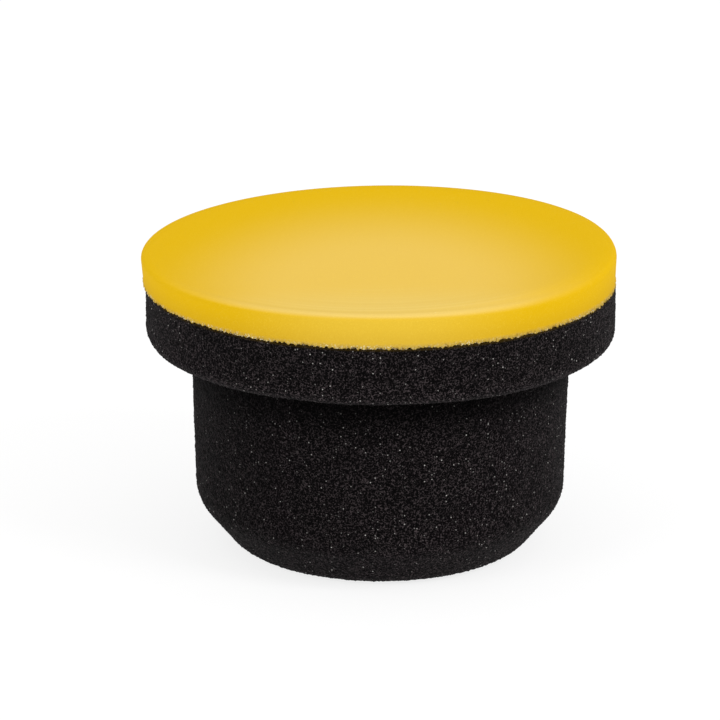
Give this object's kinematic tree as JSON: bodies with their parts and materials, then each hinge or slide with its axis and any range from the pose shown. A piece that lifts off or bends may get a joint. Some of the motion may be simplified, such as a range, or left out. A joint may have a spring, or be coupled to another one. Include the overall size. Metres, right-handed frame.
{
  "type": "hand polishing pad",
  "caption": "Round hand polishing pad: a dished foam polishing face on a wider foam flange, with a narrower bevelled foam grip to hold.",
  "frame": {"origin": "centre of the grip's flat end, which the pad stands on", "axes": "+Z along the turning axis, from the grip's flat end up to the polishing face; +X and +Y are any two square directions across it"},
  "size_m": [0.08, 0.08, 0.0517],
  "materials": {
    "polishing_foam": "soft fine-cell yellow polyurethane foam with a smooth satin working face",
    "grip_foam": "firm fine-cell black polyurethane foam with a granular matt cut surface",
    "adhesive": "thin pale film of set contact adhesive"
  },
  "bodies": {
    "root": {"grip_foam": "grip_foam", "grip_glue_film": "adhesive", "flange_foam": "grip_foam", "face_glue_film": "adhesive", "face_foam": "polishing_foam"}
  },
  "joints": []
}
